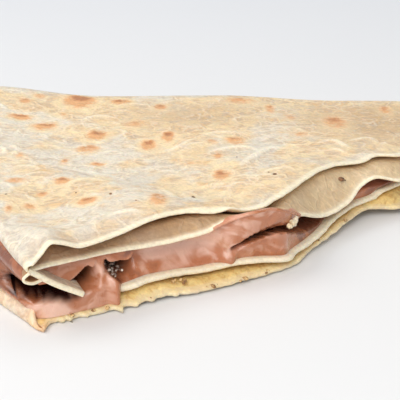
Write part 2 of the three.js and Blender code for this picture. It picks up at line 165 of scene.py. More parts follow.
# Rims: bearing at the point, distance from it, height of the sheet's middle, settling length.
BOTTOM = (
    (-76, 150, 0.8, 12), (-67.9, 167.6, 0.8, 12), (-66.6, 164.1, 0.8, 12), (-63.4, 163.7, 0.8, 12),
    (-56.6, 165.3, 0.8, 12), (-49.0, 169.6, 0.8, 12), (-43.2, 171.3, 0.8, 12),
    (-39.6, 169.8, 1.3, 12), (-32.2, 169.2, 2.8, 12), (-28.9, 170.2, 2.8, 12),
    (-26.4, 178.6, 2.0, 12), (-20, 180, 1.0, 12), (-1, 179, 0.8, 12),
)
LOWER = (
    (-76, 160, 3.0, 14), (-68.6, 161.8, 3.0, 14), (-67.9, 161.2, 3.0, 14), (-67.2, 160.0, 3.2, 14),
    (-66.4, 159, 3.6, 14), (-61.4, 158, 4.4, 14), (-60.2, 162.6, 4.6, 14), (-57.1, 163.1, 5.4, 14),
    (-54, 163.6, 5.0, 14), (-52, 164.6, 4.5, 14), (-50, 165.7, 4.5, 14), (-48, 167.7, 4.7, 14),
    (-46, 169.9, 4.2, 14), (-44.2, 172.7, 3.6, 14), (-42.7, 171.4, 3.5, 14), (-40, 170.2, 3.6, 14),
    (-38, 169.5, 4.0, 14), (-35, 168.4, 4.8, 14), (-31.2, 168.5, 5.4, 14), (-23.8, 175.7, 6.2, 14),
    (-12, 176.5, 5.2, 14), (-1, 176, 4.4, 14),
)
UPPER = (
    (-70, 166.7, 16.1, 14), (-68.2, 166.7, 16.1, 14), (-65.5, 164.4, 15.5, 14),
    (-61.6, 161.6, 14.5, 20), (-56.9, 162.4, 14.0, 20), (-52.2, 164.9, 14.8, 14),
    (-49.8, 166.1, 16.5, 7), (-48.1, 170.1, 18.8, 4.5), (-46.0, 171.6, 18.8, 4.5),
    (-44.8, 171.9, 17.5, 5), (-41.2, 169.5, 12.5, 14), (-37.3, 168.9, 8.2, 14),
    (-33.4, 169.8, 8.1, 12), (-30.2, 169.9, 11.0, 8), (-28.6, 172.4, 12.5, 8),
    (-26.8, 178.2, 10.6, 10), (-22, 178.5, 9.8, 14), (-1, 177, 8.7, 14),
)
TOP = (
    (-70, 170.6, 18.4, 14), (-68.7, 170.6, 18.4, 14), (-67.4, 167.0, 19.5, 13),
    (-66.5, 166.2, 21.7, 12), (-65.7, 165.9, 21.3, 12), (-64.9, 165.6, 20.4, 14),
    (-64.2, 165.4, 19.5, 14), (-63.5, 165.1, 19.2, 14), (-59.7, 161.9, 19.0, 25),
    (-55.8, 160.1, 20.0, 30), (-52.7, 160.4, 19.5, 30), (-49.3, 164.5, 18.2, 25),
    (-45.9, 166.5, 17.6, 20), (-43.3, 165.8, 17.8, 20), (-35.9, 162.2, 17.8, 20),
    (-31.6, 162.7, 17.0, 20), (-28.4, 167.4, 16.2, 20), (-26.2, 169.7, 16.5, 20),
    (-24.1, 175.4, 15.6, 20), (-14, 176.5, 13.6, 20), (-1, 176, 12.2, 20),
)
# Swells just inside a rim, which carry the rim of the sheet above: bearing, height, distance
# behind the rim and width.
BOTTOM_SWELL = (
    (-62, 0, 3.7, 3.2), (-59, 1.8, 3.7, 3.2), (-57, 2.3, 3.7, 3.2), (-54.5, 1.7, 3.9, 3.4),
    (-52, 1.1, 3.9, 3.4), (-49, 1.2, 3.9, 3.4), (-46, 0.9, 3.7, 3.2), (-42.5, 0.3, 3.7, 3.2),
    (-39, 0, 3.7, 3.2), (-32, 0, 3.7, 3.2), (-29.5, 1.2, 3.6, 3), (-26.4, 3.0, 5.2, 3.6),
    (-21, 3.2, 4.8, 3.6), (-12, 2.4, 4.2, 3.2), (-3, 0, 4, 3),
)
UPPER_SWELL = (
    (-68.4, 0, 5, 3), (-66.5, 3.2, 5.5, 3.2), (-64, 2.2, 5, 3), (-59.7, 2.9, 4.6, 3),
    (-55.8, 3.4, 4.6, 3), (-52.7, 3.2, 5, 3.2), (-50.5, 2.8, 5, 3), (-49, 2.0, 5, 3),
    (-47, 0.8, 5, 3), (-45.5, 0, 5, 3), (-43.5, 0, 5, 3), (-41.2, 3.2, 5.2, 3.2),
    (-39, 5.3, 6.4, 4), (-37.3, 5.7, 6.8, 4.4), (-33.4, 5.2, 7.6, 5), (-30.2, 2.8, 6, 3.5),
    (-28.6, 1.4, 5.5, 3.5), (-26.8, 2.4, 8, 5), (-24.1, 2.8, 4.6, 3), (-14, 1.8, 4, 3),
    (-4, 0, 4, 3),
)
SWELL_FALL = 14.0  # they fall away this slowly further in

# Further in the layers lie on each other and on what is between them.
LOWER_BED = 3.0  # height of the lower layer's middle at the point
LOWER_RISE = 1.2  # how much higher it lies at the rim
GAPE = 3.0  # opening of the pocket at the point, twice as much at the rim
CLOSES_OVER = (108, 150)  # distances from the point over which it closes at the back
CLOSES_TO = (-24, -4)  # and the bearings
TOP_BED = 3.0  # the top layer above the upper one
BUNCHED, BUNCHED_AT, BUNCHED_WIDTH = 3.1, 28, 24  # the lump of folds near the point
LEFT_FULLNESS, LEFT_FALL = 2.4, 15  # the pocket is fuller along the left side
SWAY = 0.4


def read(rows, x):
    """A smooth curve through the rows of a table, read at every x."""
    rows = np.asarray(rows, float)
    places = rows[:, 0]
    last = len(rows) - 1
    x = np.clip(x, places[0], places[-1])
    i = np.clip(np.searchsorted(places, x, side="right") - 1, 0, last - 1)
    a, b = rows[i], rows[i + 1]
    before, after = rows[np.maximum(0, i - 1)], rows[np.minimum(last, i + 2)]
    wide = (b[..., 0] - a[..., 0])[..., None]
    s = ((x - a[..., 0])[..., None]) / wide
    slope_a = (b - before) / (b[..., 0] - before[..., 0])[..., None] * wide
    slope_b = (after - a) / (after[..., 0] - a[..., 0])[..., None] * wide
    return (
        (2 * s**3 - 3 * s**2 + 1) * a + (s**3 - 2 * s**2 + s) * slope_a
        + (3 * s**2 - 2 * s**3) * b + (s**3 - s**2) * slope_b
    )


def ease(start, end, x):
    s = np.clip((x - start) / (end - start), 0, 1)
    return s * s * (3 - 2 * s)


def bell(x, width):
    return np.exp(-((x / width) ** 2))


def highest(a, b):
    """The higher of two heights, rounded where they cross."""
    return (a + b + np.hypot(a - b, 0.3)) / 2


def settle(rows, bed, bearing, r):
    """Height of a layer, which goes over from its bed to the height of its rim."""
    row = read(rows, bearing)
    inwards = np.maximum(0, row[..., 1] - r) / row[..., 3]
    return bed + (row[..., 2] - bed) * np.exp(-(inwards**1.5))


def swollen(swells, rows, bearing, r):
    """Height of a layer's swell behind its rim."""
    _, height, place, width = np.moveaxis(read(swells, bearing), -1, 0)
    inwards = read(rows, bearing)[..., 1] - r - place
    return height * bell(inwards, np.where(inwards > 0, SWELL_FALL, width))


def heights(bearing, r):
    """The heights of the middles of the four layers at one place."""
    out = np.clip(r / RADIUS, 0, 1)
    from_left = r * np.sin(np.radians(np.maximum(0, bearing - LEFT_SIDE)))
    bunched = BUNCHED * bell(r - BUNCHED_AT, BUNCHED_WIDTH)
    gape = GAPE + GAPE * out - GAPE * ease(*CLOSES_OVER, r) * ease(*CLOSES_TO, bearing)
    sway = SWAY * out * np.sin(r / 10 + bearing / 8) * np.sin(bearing / 4.5 + 1)
    bottom = settle(BOTTOM, SHEET / 2, bearing, r) + swollen(BOTTOM_SWELL, BOTTOM, bearing, r)
    lower_bed = LOWER_BED + LOWER_RISE * out
    lower = highest(settle(LOWER, lower_bed, bearing, r), bottom + LIE)
    fuller = LEFT_FULLNESS * np.exp(-from_left / LEFT_FALL)
    upper_bed = lower_bed + LIE + gape + fuller + bunched + sway / 2
    upper = settle(UPPER, upper_bed, bearing, r) + swollen(UPPER_SWELL, UPPER, bearing, r)
    upper = highest(upper, lower + LIE)
    top_bed = upper_bed + TOP_BED + 0.4 * bunched + sway
    top = highest(settle(TOP, top_bed, bearing, r), upper + LIE)
    return {"bottom": bottom, "lower": lower, "upper": upper, "top": top}


# The layers are joined by round folds along these bearings, at the left and at the back.
def left_side(r):
    return LEFT_SIDE + 0 * r


def lower_left_side(r):
    spread = LOWER_LEFT_SPREAD * np.sqrt(np.maximum(0, 1 - r / 168) + 0.003)
    return LOWER_LEFT_SIDE - spread + LOWER_LEFT_TUCK * ease(146, 161, r)


def back_side(r):
    return BACK_SIDE - np.degrees(BACK_ROUNDING / np.maximum(r, POINT_SIZE))


LAYERS = {
    "bottom": (BOTTOM, lower_left_side),
    "lower": (LOWER, lower_left_side),
    "upper": (UPPER, left_side),
    "top": (TOP, left_side),
}
FRONT_SHARE = 0.8  # of a layer's columns, this share is on the open front,
FRONT_PACE, BACK_PACE = 0.83, 1.68  # where they lie closer together than at the back


def column_share(s):
    back = FRONT_PACE * FRONT_SHARE + (s - FRONT_SHARE) * BACK_PACE
    return np.where(s < FRONT_SHARE, FRONT_PACE * s, back)


def polar(bearing, distance, height):
    """Places in millimetres from the bearing at the point, the distance from it and the height."""
    angle = np.radians(bearing)
    return np.stack(
        (POINT[0] + distance * np.cos(angle), POINT[1] + distance * np.sin(angle), height), -1
    )


RAGGED_WAVES = ((1.9, 0.35), (0.8, 0.22), (0.3, 0.15), (0.16, 0.1))  # length in degrees, depth in mm


def ragged(bearing, seed):
    """How far the baked rim runs in and out along its length, in millimetres."""
    wave = 0.0
    for size, depth in RAGGED_WAVES:
        steps = np.random.default_rng(seed + int(size * 100)).uniform(-1, 1, int(90 / size) + 3)
        wave = wave + depth * np.interp((bearing + 80) / size, np.arange(len(steps)), steps)
    return wave


# Small frills of batter beyond the lowest rim: bearing, half width, length.
FRILLS = (
    (-60.5, 0.25, 2.4), (-64.9, 0.1, 2.6), (-65.6, 0.2, 0.9), (-63.4, 0.2, 0.7),
    (-59.0, 0.3, 0.8), (-57.4, 0.3, 0.6), (-55.2, 0.25, 0.6), (-68.0, 0.5, 1.2),
)
RIM_SEEDS = {"bottom": 11, "lower": 12, "upper": 13, "top": 14}
RIM_ROUGHNESS = {"bottom": 1.1, "lower": 0.75, "upper": 0.35, "top": 0.5}


def on_layer(name, s, t):
    """Bearing, distance and height in one layer, by share of its turn and of the way to the rim."""
    rows, left = LAYERS[name]
    near = t * RADIUS
    bearing = left(near) + (back_side(near) - left(near)) * column_share(s)
    at_rim = ease(0.93, 1.0, t)
    reach = read(rows, bearing)[..., 1]
    reach = reach + at_rim * RIM_ROUGHNESS[name] * ragged(bearing, RIM_SEEDS[name])
    if name == "bottom":
        for frill_bearing, half_width, length in FRILLS:
            reach = reach + at_rim**4 * length * bell(bearing - frill_bearing, half_width)
    r = t * reach
    return bearing, r, heights(bearing, r)[name]


def on_sheet(name, s, t):
    return polar(*on_layer(name, s, t))


def on_fold(start, end, s, t, turn):
    """The round fold from one layer to the next, turned from 0 to 1."""
    a_bearing, a_r, a_height = on_layer(start, s, t)
    b_bearing, b_r, b_height = on_layer(end, s, t)
    bearing = a_bearing + (b_bearing - a_bearing) * turn
    half = (a_height - b_height) / 2
    place = polar(bearing, a_r + (b_r - a_r) * turn, b_height + half + half * np.cos(np.pi * turn))
    out = FOLD_FULLNESS * np.abs(half) * np.sin(np.pi * turn) * np.where(s > 0, 1, -1)
    angle = np.radians(bearing)
    place[..., 0] -= out * np.sin(angle)
    place[..., 1] += out * np.cos(angle)
    return place


SIDE_COLUMNS = 12
SHEET_COLUMNS = 240
BACK_COLUMNS = 16
COLUMNS = 2 * SIDE_COLUMNS + 4 * SHEET_COLUMNS + 2 * BACK_COLUMNS
COLUMN_CUTS = 8
JOIN = POINT_SIZE / RADIUS
# Round the disc from the middle of the upper left fold: how many columns, and where they lie.
STRETCHES = (
    (SIDE_COLUMNS // 2, lambda k, t: on_fold("upper", "top", 0 * k, t, 0.5 + k / 2)),
    (SHEET_COLUMNS, lambda k, t: on_sheet("top", k, t)),
    (BACK_COLUMNS, lambda k, t: on_fold("top", "bottom", 1 + 0 * k, t, k)),
    (SHEET_COLUMNS, lambda k, t: on_sheet("bottom", 1 - k, t)),
    (SIDE_COLUMNS, lambda k, t: on_fold("bottom", "lower", 0 * k, t, k)),
    (SHEET_COLUMNS, lambda k, t: on_sheet("lower", k, t)),
    (BACK_COLUMNS, lambda k, t: on_fold("lower", "upper", 1 + 0 * k, t, k)),
    (SHEET_COLUMNS, lambda k, t: on_sheet("upper", 1 - k, t)),
    (SIDE_COLUMNS // 2, lambda k, t: on_fold("upper", "top", 0 * k, t, k / 2)),
)


def middle(column, t):
    """The middle of the folded sheet, by column round the disc and share of the way to the rim."""
    column = np.mod(column, COLUMNS)
    place = np.zeros(column.shape + (3,))
    start = 0
    for count, at in STRETCHES:
        here = (column >= start) & (column <= start + count)
        if here.any():
            place[here] = at((column[here] - start) / count, t[here])
        start += count
    return place


def on_face(column, t, off):
    """A place on the folded sheet, off its middle by half its thickness or less."""
    here = middle(column, t)
    along = middle(column + 0.05, t) - middle(column - 0.05, t)
    outwards = here - middle(column, t - 0.002)
    normal = np.cross(outwards, along)
    normal /= np.maximum(np.linalg.norm(normal, axis=-1, keepdims=True), 1e-9)
    here = here + normal * off[..., None]
    here[..., 2] = np.maximum(0, here[..., 2])
    return here


def folded(column, t, off):
    """Where a point of the flat disc comes to lie, in millimetres."""
    place = on_face(column, np.maximum(t, JOIN), off)
    near = t < 0.9 * JOIN
    inner = near & (off < 0)
    outer = near & (off >= 0)
    if inner.any():
        partner = on_face(COLUMNS - column[inner], np.full(inner.sum(), JOIN), off[inner])
        place[inner] = (place[inner] + partner) / 2
    share = (t[outer] / JOIN)[:, None]
    place[outer, :2] = POINT[:2] + (place[outer, :2] - POINT[:2]) * share
    rise = np.sin(np.pi / 2 * share[:, 0])
    place[outer, 2] = POINT[2] + (place[outer, 2] - POINT[2]) * rise
    return place


# Low ridges baked into the top: height, then points along each, in plan.
RIDGES = (
    (0.5, (-23, 22), (-19, 19), (-16, 25)),
    (0.4, (-27, 14), (-23, 16), (-17, 13)),
    (0.4, (-37, 14), (-34, 17), (-28, 9)),
    (0.5, (-8, 18), (-5, 21), (-2, 16)),
    (0.55, (-1, 24), (1, 29), (4, 25)),
    (0.6, (11, 22), (7, 16), (3, 11), (-4, 6)),
    (0.5, (-3, -13), (1, -9), (5, -9)),
    (0.6, (-1, -33), (2, -31), (5, -40)),
    (0.4, (-20, -39), (-16, -38), (-12, -40)),
    (0.4, (-34, -42), (-33, -38), (-30, -41)),
    (0.35, (-44, -20), (-40, -16), (-37, -13)),
    (0.35, (-29, -5), (-20, -10), (-16, -16)),
    (0.5, (11, 19), (13, 24), (17, 27), (24, 27), (28, 22)),
    (0.7, (13, 6), (17, 9), (22, 12), (26, 12), (29, 7)),
    (0.8, (22, -11), (25, -3), (29, 5), (32, 11), (37, 11)),
    (0.7, (45, 12), (51, 16), (54, 11), (56, 6)),
    (0.6, (55, 14), (59, 17), (63, 19), (65, 11)),
    (0.5, (48, 7), (52, 5), (54, 0)),
    (0.5, (14, -14), (17, -11), (20, -12), (23, -20)),
    (0.4, (38, 27), (44, 24), (48, 26)),
    (0.5, (17, 64), (21, 69), (26, 71), (30, 58)),
    (0.4, (-49, 32), (-43, 38), (-36, 34)),
    (0.4, (-22, 51), (-14, 54), (-8, 47)),
    (0.4, (-9, -49), (-4, -48), (-1, -51)),
    (0.4, (10, -27), (15, -24), (22, -27)),
    (0.4, (28, -23), (34, -21), (39, -18)),
)
# Browned spots of the top: place in plan, half its width and depth, how dark.
SPOTS = (
    (-29.8, 64.6, 4.4, 6.4, 1), (-47.5, 45.1, 3.8, 2.2, 0.65), (-38.5, 37.4, 3.5, 4, 0.65),
    (-21, 27.1, 3.1, 4.5, 0.7), (-47.9, 60.2, 2.2, 3.1, 0.4), (-43.7, 66.7, 2.3, 2.6, 0.35),
    (-16.1, 65, 3.4, 3.2, 0.65), (-2.2, 59.1, 2, 3.8, 0.6), (-4.5, 16.1, 2.1, 4.1, 0.75),
    (1.3, 23.9, 1.9, 5, 0.7), (-26.9, -18.6, 2.2, 2.7, 0.65), (-18.2, -38.8, 2.2, 2.5, 0.85),
    (-31.1, -29.7, 1.6, 2.6, 0.45), (-32.8, -41.2, 1.8, 2.5, 0.4), (0.5, -42.1, 2.3, 7.3, 0.5),
    (17.4, -15, 2.5, 4.8, 0.6), (22, 19.1, 3.1, 4.1, 0.45), (25, 66.1, 5.2, 5.5, 0.45),
    (55.1, 42.2, 3.9, 9.4, 0.5), (-22.5, 12.6, 3.7, 3.9, 0.45), (-28.1, 0, 1.4, 3.1, 0.35),
    (-18.6, -1.6, 2.3, 1.8, 0.5), (-37.8, -45.5, 1.2, 3.2, 0.45), (-41.9, 5.2, 1.2, 2.4, 0.4),
    (34.7, 55.9, 1.7, 5.4, 0.4), (16.6, 3.6, 1.5, 3.8, 0.4), (73.6, 57.4, 2.3, 5.1, 0.4),
    (-33.9, 48.8, 1.6, 2.1, 0.35), (-40.1, -17.8, 3.6, 2.3, 0.35), (14.9, 17.2, 1.8, 2.4, 0.4),
    (-9.7, 39.5, 4.2, 4.4, 0.3), (40.7, 45.6, 2.4, 3.9, 0.3), (42.4, 25.5, 3.1, 3.2, 0.3),
    (8.4, -2.2, 2, 2.8, 0.25),
)
# The browned corner of the lowest layer, in the same way.
CORNER = ((-26.6, -79.5, 4.5, 4, 0.8), (-31, -74, 6, 5, 0.4), (-37, -66, 6, 6, 0.3))
SPECKS = (
    (-12.3, -37.4, 0.5), (9.2, -35.9, 0.7), (31.6, -21, 0.7), (-40, -33, 0.4), (-22, -30, 0.35),
    (30.4, -17.5, 0.4), (-5, -44, 0.35), (22, 2, 0.35),
)
# Where the top is toasted more: place in plan, half width and depth, how much.
TOASTED = (
    (8, 48, 42, 26, 0.75), (70, 42, 34, 36, 1.05), (14, 8, 16, 14, 0.5), (-10, 20, 18, 12, 0.35),
    (48, 40, 26, 26, 0.5), (-30, 62, 14, 12, 0.4), (2, -10, 14, 9, 0.35),
)
BLISTERS = 1500
BLISTERED = ((-80, 95), (-85, 85))  # they lie in this part of the plan


def blisters(x, y):
    """The blisters and ridges baked into the top: height in mm, how toasted, and how much painted
    shade.
    """
    chance = np.random.default_rng(21)
    height, toast, shaded = np.zeros(len(x)), np.zeros(len(x)), np.zeros(len(x))
    for _ in range(BLISTERS):
        middle_x, middle_y = chance.uniform(*BLISTERED[0]), chance.uniform(*BLISTERED[1])
        size = 1.3 + 4.4 * chance.random() ** 2.4
        turn = np.pi / 2 + chance.normal(0, 0.9)
        depth = (0.12 + 0.075 * size) * chance.uniform(0.5, 1.1)
        tone = chance.random() ** 2
        near = (np.abs(x - middle_x) < 1.7 * size) & (np.abs(y - middle_y) < 1.7 * size)
        dx, dy = x[near] - middle_x, y[near] - middle_y
        d = np.hypot(dx, dy) / size
        facing = (0.5 + 0.5 * np.cos(np.arctan2(dy, dx) - turn)) ** 1.5
        ring = bell(d - 1, 0.22) * facing
        height[near] = np.maximum(height[near], depth * (ring + 0.4 * np.clip(1 - d * d, 0, 1)))
        toast[near] = np.maximum(toast[near], tone * (1 - ease(0.2, 1.25, d)))
        # Painted shadow inside the arc of each blister, under its raised ring.
        painted_shadow = chance.uniform(0.2, 1) * bell(d - 0.66, 0.17) * facing
        shaded[near] = np.maximum(shaded[near] * (1 - ring), painted_shadow)
    for row in RIDGES:
        depth, points = row[0], np.array(row[1:], float)
        share = np.linspace(0, len(points) - 1, 60)
        line = read(np.column_stack((np.arange(len(points)), points)), share)[:, 1:]
        low, high = line.min(0) - 4, line.max(0) + 4
        near = (x > low[0]) & (x < high[0]) & (y > low[1]) & (y < high[1])
        gap = np.stack((x[near], y[near]), -1)[:, None] - line[None]
        distance = np.hypot(gap[..., 0], gap[..., 1])
        closest = distance.argmin(1)
        behind = np.take_along_axis(gap[..., 1], closest[:, None], 1)[:, 0]
        width = np.where(behind > 0, 1.9, 0.9)
        taper = np.sin(np.pi * np.clip(share[closest] / share[-1], 0.04, 0.96)) ** 0.5
        rise = depth * taper * bell(distance.min(1), width)
        height[near] = np.maximum(height[near], rise)
        # Painted shadow in front of each ridge.
        painted_shadow = taper * bell(distance.min(1) - 1.7, 0.8) * (behind < 0)
        shaded[near] = np.maximum(shaded[near] * (1 - np.clip(rise / depth, 0, 1)), painted_shadow)
    return height, toast, shaded


def patches(rows, x, y):
    """How much of the patches in a table lies at each place, from 0 to about 1."""
    amount = np.zeros(len(x))
    for middle_x, middle_y, half_x, half_y, strength in rows:
        away = ((x - middle_x) / half_x) ** 2 + ((y - middle_y) / half_y) ** 2
        amount = np.maximum(amount, strength * np.exp(-(away**1.1)))
    return amount


OUTER_RINGS = [JOIN * 1.3, 0.13, 0.165] + [0.2 + 0.031 * i for i in range(22)]
OUTER_RINGS += [0.88, 0.9, 0.918, 0.934, 0.948, 0.96, 0.97, 0.979, 0.986, 0.992, 0.996]
INNER_RINGS = [JOIN * 1.5, 0.2, 0.32, 0.45, 0.58, 0.7, 0.78, 0.84]
INNER_RINGS += [0.88, 0.905, 0.925, 0.942, 0.956, 0.968, 0.978, 0.986, 0.992, 0.996]
HALF = SHEET / 2
profile = [(JOIN / 2, -HALF), (JOIN, -HALF)] + [(t, -HALF) for t in INNER_RINGS]
for turn in np.linspace(-90, 90, 7):
    angle = math.radians(turn)
    profile.append((1 + HALF / RADIUS * math.cos(angle), HALF * math.sin(angle)))
profile += [(t, HALF) for t in reversed(OUTER_RINGS)]
profile += [(JOIN, HALF), (JOIN / 2, HALF), (0.0, HALF)]

disc = bmesh.new()
rim_line = [disc.verts.new((t, 0, off)) for t, off in profile]
rim_edges = [disc.edges.new(pair) for pair in zip(rim_line, rim_line[1:])]
bmesh.ops.spin(
    disc, geom=rim_line + rim_edges, axis=(0, 0, 1), cent=(0, 0, 0), angle=2 * math.pi,
    steps=COLUMNS // COLUMN_CUTS, use_merge=True, use_duplicate=False,
)
bmesh.ops.remove_doubles(disc, verts=disc.verts[:], dist=1e-6)


def disc_place(verts):
    """Column, share of the way to the rim and side of each vertex of the flat disc."""
    flat = np.array([v.co for v in verts])
    turn = np.mod(np.arctan2(flat[:, 1], flat[:, 0]) / (2 * np.pi), 1) * COLUMNS
    chord = np.pi * COLUMN_CUTS / COLUMNS
    step = 2 * np.pi * (np.mod(turn, COLUMN_CUTS) / COLUMNS) - chord
    straightened = np.cos(step) / np.cos(chord)
    t = np.hypot(flat[:, 0], flat[:, 1]) * straightened
    return np.mod(np.round(turn), COLUMNS), t, flat[:, 2]


# The disc is turned in a few wide steps, and each is then cut into narrow columns.
around = []
for edge in disc.edges:
    a, b = (v.co for v in edge.verts)
    same_ring = abs(a.xy.length - b.xy.length) < 1e-5 and abs(a.z - b.z) < 1e-5
    if same_ring and (a - b).length > 1e-5:
        around.append(edge)
bmesh.ops.subdivide_edges(disc, edges=around, cuts=COLUMN_CUTS - 1)


# The top layer gets four more rings between each two that lie wide apart, for its blisters.
WIDE_APART = 0.012
stretch_ends = np.cumsum([count for count, _ in STRETCHES])
top_start, top_end = stretch_ends[:2]
disc.verts.ensure_lookup_table()
column, t, off = disc_place(disc.verts)
on_top = (off > 0.7 * HALF) & (column >= top_start) & (column <= top_end) & (t > 0.9 * JOIN)
spokes = []
for edge in disc.edges:
    a, b = (v.index for v in edge.verts)
    gap = abs(t[a] - t[b])
    if on_top[a] and on_top[b] and column[a] == column[b] and gap > WIDE_APART:
        spokes.append(edge)
bmesh.ops.subdivide_edges(disc, edges=spokes, cuts=4)
bmesh.ops.recalc_face_normals(disc, faces=disc.faces[:])
disc.verts.ensure_lookup_table()
column, t, off = disc_place(disc.verts)


def within(first, last):
    """Whether each vertex lies between the ends of two stretches of the folded sheet."""
    return (column > stretch_ends[first]) & (column < stretch_ends[last])


# The sheet runs thin towards its rim, to this share of its thickness in each layer.
RIM_THINNING = {"top": 0.5, "bottom": 0.8, "lower": 0.92, "upper": 0.52}
at_ends = np.append(np.repeat(list(RIM_THINNING.values()), 2), RIM_THINNING["top"])
thinning = np.interp(column, stretch_ends, at_ends)
off = off * (1 + (thinning - 1) * ease(0.95, 1, t))
place = folded(column, t, off)
on_top_face = ease(0.5 * HALF, HALF, off) * ease(top_start, top_start + 7, column)
on_top_face = on_top_face * (1 - ease(top_end - 7, top_end, column)) * ease(JOIN, 1.6 * JOIN, t)
x, y = place[:, 0], place[:, 1]
raised, cells, shaded = (on_top_face * amount for amount in blisters(x, y))
bearing = np.degrees(np.arctan2(y - POINT[1], x - POINT[0]))
on_upper = within(6, 7)

# Spread coats the upper layer's rim in the middle of the front, narrower at its left end.
coated_rim = ease(-51.6, -50.6, bearing) * (1 - ease(-41.8, -41.2, bearing)) * on_upper
coat_start = np.where(off < -0.5 * HALF, 0.984, 0.965) + 0.03 * (1 - ease(-51.4, -48.9, bearing))

# A spot is charred a little behind its middle and has a pale yellow ring.
spots_back = [(u, v + 0.4 * b, 0.7 * a, 0.45 * b, dark) for u, v, a, b, dark in SPOTS]
spots_wide = [(u, v - 0.3 * b, 1.7 * a, 1.7 * b, dark) for u, v, a, b, dark in SPOTS]
wide_waves = np.array([noise.noise(Vector((p[0] / 19, p[1] / 15, 0))) for p in place])
place[:, 2] += (1 - 0.6 * ease(0.97, 1, t)) * raised
place[:, 2] += on_top_face * 0.55 * np.clip(wide_waves + 0.4, 0, 1)
# The pale band along each rim is a painted highlight, for the light on the rounded edge.
rim_highlight = np.where(on_upper & (off < 0), ease(0.9945, 0.9985, t), ease(0.990, 0.998, t))
shades = {
    "raised": raised,
    "inside": np.clip((1 - off / HALF) / 2, 0, 1),
    "rim": rim_highlight,
    "corner": (place[:, 2] < 8) * patches(CORNER, x, y),
    "cells": cells,
    "shaded": shaded,
    "browned": on_top_face * patches(SPOTS, x, y),
    "charred": on_top_face * patches(spots_back, x, y),
    "halo": on_top_face * patches(spots_wide, x, y),
    "coated": coated_rim * ease(coat_start, coat_start + 0.008, t),
    "toasted": on_top_face * patches(TOASTED, x, y),
    "lowest": within(2, 3) * 1.0,
}


def mark(mesh, shades):
    """Writes named amounts on the vertices, for a material to read."""
    for name, amounts in shades.items():
        layer = mesh.verts.layers.float.new(name)
        for vert, amount in zip(mesh.verts, amounts):
            vert[layer] = amount


def move_to(mesh, places):
    """Moves the vertices to places in millimetres."""
    for vert, to in zip(mesh.verts, places):
        vert.co = Vector(to) * MM


mark(disc, shades)
move_to(disc, place)
bmesh.ops.remove_doubles(disc, verts=disc.verts[:], dist=1e-7)
top_surface = place[on_top_face > 0.99]
crepe = finish_object(disc, "crepe")
crepe.data.shade_smooth()


def between(tree, value, low, high, least=0.0, most=1.0):
    """0 below low and 1 above high, smoothly."""
    return node(tree, "MapRange", {
        "Value": value, "From Min": low, "From Max": high, "To Min": least, "To Max": most,
    }, interpolation_type="SMOOTHSTEP").outputs["Result"]


def attribute(tree, name):
    return node(tree, "Attribute", attribute_name=name).outputs["Fac"]


def maths(tree, operation, first, second=0.5):
    return node(tree, "Math", {0: first, 1: second}, operation=operation).outputs[0]


def times(tree, first, second):
    return maths(tree, "MULTIPLY", first, second)


def mottle(tree, where, size, detail=2.0, distortion=0.0):
    """Cloudy noise whose clouds are about this many millimetres across."""
    return node(tree, "TexNoise", {
        "Vector": where, "Scale": 1 / (size * MM), "Detail": detail, "Distortion": distortion,
    }).outputs["Fac"]


def finish_surface(tree, surface, colour, roughness, relief, strength, depth):
    """Colour, roughness and a fine relief, at most this many millimetres deep."""
    bumps = node(tree, "Bump", {"Height": relief, "Strength": strength, "Distance": depth * MM})
    tree.links.new(colour, surface.inputs["Base Color"])
    tree.links.new(roughness, surface.inputs["Roughness"])
    tree.links.new(bumps.outputs["Normal"], surface.inputs["Normal"])


def let_light_in(surface, weight, radius, depth):
    """Light goes about this many millimetres into the surface."""
    surface.inputs["Subsurface Weight"].default_value = weight
    surface.inputs["Subsurface Radius"].default_value = radius
    surface.inputs["Subsurface Scale"].default_value = depth * MM


GREY_CREAM = (0.80, 0.72, 0.59, 1)
YELLOW_CREAM = (0.93, 0.72, 0.44, 1)
TAN = (0.78, 0.53, 0.29, 1)
TOASTED_TAN = (0.60, 0.39, 0.20, 1)
PAINTED_SHADE = (0.56, 0.46, 0.36, 1)
RIDGE_HIGHLIGHT = (0.98, 0.89, 0.72, 1)
ORANGE_BROWN = (0.78, 0.40, 0.18, 1)
DARK_BROWN = (0.47, 0.19, 0.08, 1)
RIM_HIGHLIGHT = (0.98, 0.86, 0.64, 1)
INNER_SHADED_LEFT = (0.40, 0.215, 0.10, 1)
INNER_LIT_RIGHT = (0.74, 0.55, 0.33, 1)
INNER_PORES = (0.34, 0.19, 0.09, 1)
LOWEST = (0.95, 0.68, 0.26, 1)
LOWEST_DARK = (0.68, 0.41, 0.12, 1)
CHOCOLATE = (0.51, 0.185, 0.082, 1)
CHOCOLATE_PALE_AND_HIGHLIT = (0.84, 0.53, 0.41, 1)
CHOCOLATE_DARK_AND_SHADED = (0.25, 0.085, 0.045, 1)

baked, tree, surface, where = material_named("baked_batter")
to_right = node(tree, "SeparateXYZ", {0: where}).outputs["X"]
wide, mid = mottle(tree, where, 22, 3), mottle(tree, where, 7, 4, 0.8)
small, fine = mottle(tree, where, 2.6, 3, 0.6), mottle(tree, where, 0.9, 3)
raised, cells, shaded, toasted, rim, inside, lowest, coated = (
    attribute(tree, name)
    for name in ("raised", "cells", "shaded", "toasted", "rim", "inside", "lowest", "coated")
)

# A net of fine raised creases, pushed out of line and broken up, with a painted highlight on each
# and painted shade along each.
NET = 6.5  # millimetres from crease to crease
NET_DRIFT = (7 * MM, 7 * MM, 7 * MM)
drift = node(tree, "TexNoise", {"Vector": where, "Scale": 1 / (8 * MM)}).outputs["Color"]
drifted = node(tree, "VectorMath", {0: drift, 1: NET_DRIFT, 2: where}, operation="MULTIPLY_ADD")
net = node(tree, "TexVoronoi", {
    "Vector": drifted.outputs[0], "Scale": 1 / (NET * MM),
}, feature="DISTANCE_TO_EDGE").outputs["Distance"]
broken = between(tree, mid, 0.42, 0.58)
crease = times(tree, between(tree, net, 0.10, 0.02), broken)
from_shade = maths(tree, "ABSOLUTE", maths(tree, "SUBTRACT", net, 0.17))
beside = times(tree, between(tree, from_shade, 0.08, 0.0), broken)
